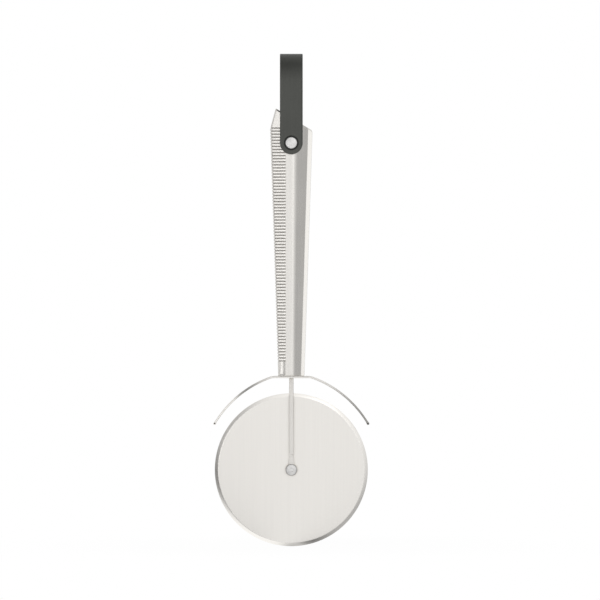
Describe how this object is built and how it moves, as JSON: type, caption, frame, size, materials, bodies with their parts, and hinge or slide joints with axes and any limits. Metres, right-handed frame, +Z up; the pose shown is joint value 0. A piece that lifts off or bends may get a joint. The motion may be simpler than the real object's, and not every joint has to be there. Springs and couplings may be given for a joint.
{
  "type": "pizza cutter",
  "caption": "Wheel pizza cutter: round blade on a slim fork under a bent finger guard, faceted metal handle with ribbed side, rubber hanging loop.",
  "frame": {"origin": "lowest point of the cutting wheel's edge, in the wheel's middle plane, where it meets the board", "axes": "+Z up from the wheel along the handle to the loop, +X to the right seen from the front, +Y from the front face to the back face, along the wheel's axle"},
  "size_m": [0.0916, 0.024, 0.2896],
  "materials": {
    "wheel_steel": "straight brushed faces, ground bevel",
    "fork_steel": "satin",
    "guard_steel": "fine satin",
    "handle_steel": "satin, lengthwise",
    "screw_steel": "satin",
    "bush_brass": "turned",
    "insert_brass": "turned",
    "washer_plastic": "matte",
    "strap_rubber": "matte, dark warm grey"
  },
  "bodies": {
    "handle": {"handle_body": "handle_steel", "threaded_insert": "insert_brass", "guard_plate": "guard_steel", "fork": "fork_steel", "front_washer": "washer_plastic", "back_washer": "washer_plastic", "axle_screw": "screw_steel", "axle_barrel": "screw_steel", "loop_post": "screw_steel", "loop_post_screw": "screw_steel"},
    "wheel": {"cutting_wheel": "wheel_steel", "wheel_bush": "bush_brass"},
    "loop": {"hang_loop": "strap_rubber"}
  },
  "joints": [
    {"name": "wheel_spin", "type": "hinge", "parent": "handle", "child": "wheel", "pos_m": [0, 0, 0.045], "axis": [0, 1, 0], "continuous": true},
    {"name": "loop_swing", "type": "hinge", "parent": "handle", "child": "loop", "pos_m": [0, 0, 0.237], "axis": [0, 1, 0], "range_deg": [-150, 150]}
  ]
}
